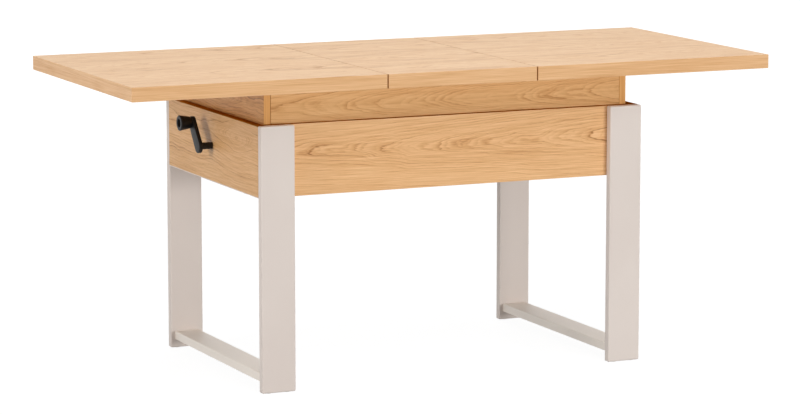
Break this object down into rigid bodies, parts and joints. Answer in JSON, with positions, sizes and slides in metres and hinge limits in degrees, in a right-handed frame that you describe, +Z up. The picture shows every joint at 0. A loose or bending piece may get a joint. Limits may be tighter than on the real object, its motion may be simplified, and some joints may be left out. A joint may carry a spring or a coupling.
{
  "type": "extending coffee table",
  "caption": "Crank-lifted extending coffee table: oak-decor top with loose leaf on a sliding case, scissor and spindle lift, pale sled legs.",
  "frame": {"origin": "on the floor, under the middle of the table", "axes": "+X along the table away from the crank, +Y towards the back, +Z up"},
  "size_m": [1.558, 0.67, 0.7],
  "materials": {
    "oak_decor": "satin oak decor foil, fine grain",
    "leg_lacquer": "satin cashmere lacquer",
    "white_board": "white melamine board",
    "hardboard": "bare hardboard",
    "beech": "planed beech",
    "zinc_steel": "zinc plated",
    "bright_steel": "bright turned",
    "track_aluminium": "extruded, clear anodised",
    "nut_brass": "turned",
    "black_plastic": "satin moulded",
    "glide_nylon": "moulded nylon"
  },
  "bodies": {
    "base": {"leg_front_left": "leg_lacquer", "leg_front_right": "leg_lacquer", "leg_back_left": "leg_lacquer", "leg_back_right": "leg_lacquer", "foot_rail_left": "leg_lacquer", "foot_rail_right": "leg_lacquer", "foot_glides": "glide_nylon", "apron_front": "oak_decor", "apron_back": "oak_decor", "apron_left": "oak_decor", "apron_right": "oak_decor", "carrier_rail_left": "white_board", "carrier_rail_right": "white_board", "lower_channel_front": "zinc_steel", "lower_channel_back": "zinc_steel", "lower_pivot_rod": "bright_steel", "spindle_bearing": "zinc_steel", "spindle_bush": "black_plastic", "leg_bolts": "bright_steel", "frame_dowels": "beech", "base_screws": "bright_steel"},
    "lift_case": {"case_front": "oak_decor", "case_back": "oak_decor", "case_left": "oak_decor", "case_right": "oak_decor", "case_guides": "glide_nylon", "leaf_tray": "hardboard", "tray_rail_left": "white_board", "tray_rail_right": "white_board", "upper_channel_front": "zinc_steel", "upper_channel_back": "zinc_steel", "upper_pivot_rod": "bright_steel", "case_dowels": "beech", "case_screws": "bright_steel", "track_front_left": "track_aluminium", "track_front_right": "track_aluminium", "track_back_left": "track_aluminium", "track_back_right": "track_aluminium"},
    "outer_arms": {"outer_arm_front": "zinc_steel", "outer_arm_back": "zinc_steel", "outer_arm_pins": "bright_steel"},
    "inner_arms": {"inner_arm_front": "zinc_steel", "inner_arm_back": "zinc_steel"},
    "nut_carriage": {"cross_bar": "bright_steel", "nut_bracket": "zinc_steel", "spindle_nut": "nut_brass"},
    "crank": {"spindle": "bright_steel", "thrust_collars": "bright_steel", "crank_arm": "black_plastic", "grip_axle": "bright_steel"},
    "crank_grip": {"crank_grip": "black_plastic"},
    "left_top": {"top_left": "oak_decor", "runner_front_left": "beech", "runner_back_left": "beech", "runner_screws_left": "bright_steel"},
    "right_top": {"top_right": "oak_decor", "runner_front_right": "beech", "runner_back_right": "beech", "runner_screws_right": "bright_steel"},
    "leaf": {"top_leaf": "oak_decor"}
  },
  "joints": [
    {"name": "lift", "type": "slide", "parent": "base", "child": "lift_case", "axis": [0, 0, 1], "range_m": [-0.07, 0.04]},
    {"name": "outer_arm_swing", "type": "hinge", "parent": "base", "child": "outer_arms", "pos_m": [0.255, 0, 0.465], "axis": [0, 1, 0], "range_deg": [-8.04, 4.64]},
    {"name": "inner_arm_swing", "type": "hinge", "parent": "lift_case", "child": "inner_arms", "pos_m": [0.255, 0, 0.5997], "axis": [0, -1, 0], "range_deg": [-8.04, 4.64]},
    {"name": "nut_carriage_pivot", "type": "hinge", "parent": "inner_arms", "child": "nut_carriage", "pos_m": [-0.24725, 0, 0.465], "axis": [0, 1, 0], "range_deg": [-8.04, 4.64]},
    {"name": "crank_turn", "type": "hinge", "parent": "base", "child": "crank", "pos_m": [-0.469, 0, 0.5165], "axis": [1, 0, 0], "range_deg": [-2001.3, 1144.5]},
    {"name": "grip_spin", "type": "hinge", "parent": "crank", "child": "crank_grip", "pos_m": [-0.505, 0.03879, 0.56615], "axis": [1, 0, 0], "continuous": true},
    {"name": "left_top_slide", "type": "slide", "parent": "lift_case", "child": "left_top", "axis": [-1, 0, 0], "range_m": [0, 0.03]},
    {"name": "right_top_slide", "type": "slide", "parent": "lift_case", "child": "right_top", "axis": [1, 0, 0], "range_m": [0, 0.03]},
    {"name": "leaf_lift_out", "type": "slide", "parent": "lift_case", "child": "leaf", "axis": [0, 0, 1], "range_m": [0, 0.15]}
  ],
  "couplings": [
    {"joint": "outer_arm_swing", "follows": "lift", "rad_per_m": 1.98},
    {"joint": "inner_arm_swing", "follows": "lift", "rad_per_m": 1.98},
    {"joint": "nut_carriage_pivot", "follows": "lift", "rad_per_m": 1.98},
    {"joint": "crank_turn", "follows": "lift", "rad_per_m": 498.5}
  ]
}
